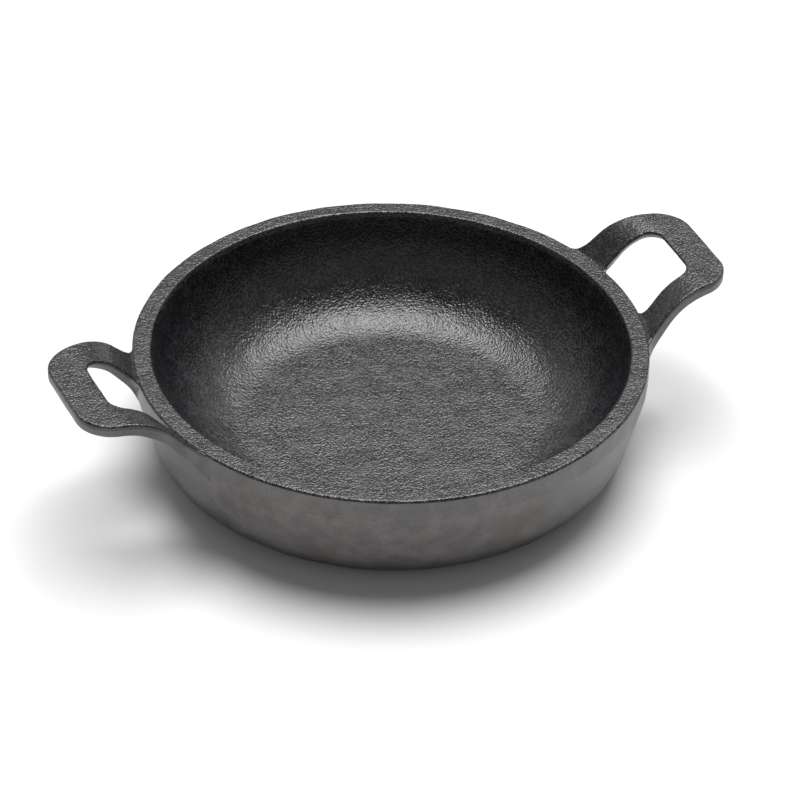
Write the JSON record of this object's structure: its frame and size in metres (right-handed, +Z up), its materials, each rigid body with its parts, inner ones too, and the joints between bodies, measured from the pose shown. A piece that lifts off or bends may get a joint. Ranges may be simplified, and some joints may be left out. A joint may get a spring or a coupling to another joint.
{
  "type": "cast iron skillet",
  "caption": "Small round cast iron skillet with drafted walls, a thick flat rim and a raised loop handle on each side.",
  "frame": {"origin": "centre of the flat resting face under the pan", "axes": "+Z up out of the bowl, +X toward one loop handle and -X toward the other"},
  "size_m": [0.1882, 0.14, 0.0422],
  "materials": {
    "cast_iron": "seasoned matt black over a fine sand-cast grain"
  },
  "bodies": {
    "root": {"pan_floor": "cast_iron", "corner_ring": "cast_iron", "side_wall": "cast_iron", "rim_band": "cast_iron", "left_handle": "cast_iron", "right_handle": "cast_iron"}
  },
  "joints": []
}
